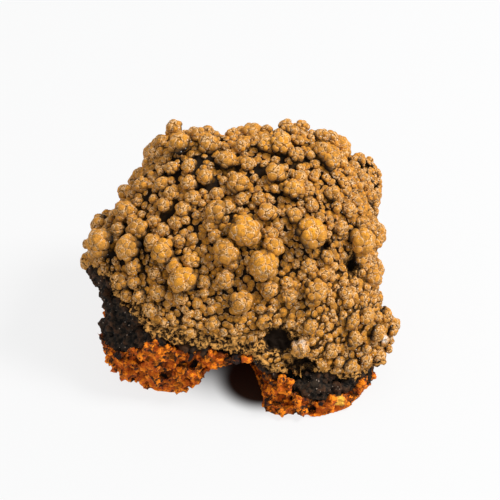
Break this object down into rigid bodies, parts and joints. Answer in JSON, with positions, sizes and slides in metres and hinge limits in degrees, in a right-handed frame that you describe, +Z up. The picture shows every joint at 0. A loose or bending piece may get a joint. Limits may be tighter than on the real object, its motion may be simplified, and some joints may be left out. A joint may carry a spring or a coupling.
{
  "type": "botryoidal mottramite mineral specimen",
  "caption": "Hand specimen: a dome of brown botryoidal mottramite knobs on a black oxide layer and an orange gossan base, resting on its rough underside.",
  "frame": {"origin": "middle of the specimen's footprint box, on the surface it rests on", "axes": "+X along the knobbly face to its right, its longest way; +Y towards the back; +Z up"},
  "size_m": [0.0636, 0.049, 0.0451],
  "materials": {
    "mottramite": "satin brown botryoidal crust, golden on the highest knobs, frosted pale rims",
    "black_oxide": "dull black, sooty and granular, with bronze specks",
    "gossan": "matt crumbly orange and rust-brown"
  },
  "bodies": {
    "root": {"mottramite_crust": "mottramite", "black_oxide_layer": "black_oxide", "gossan_matrix": "gossan"}
  },
  "joints": []
}
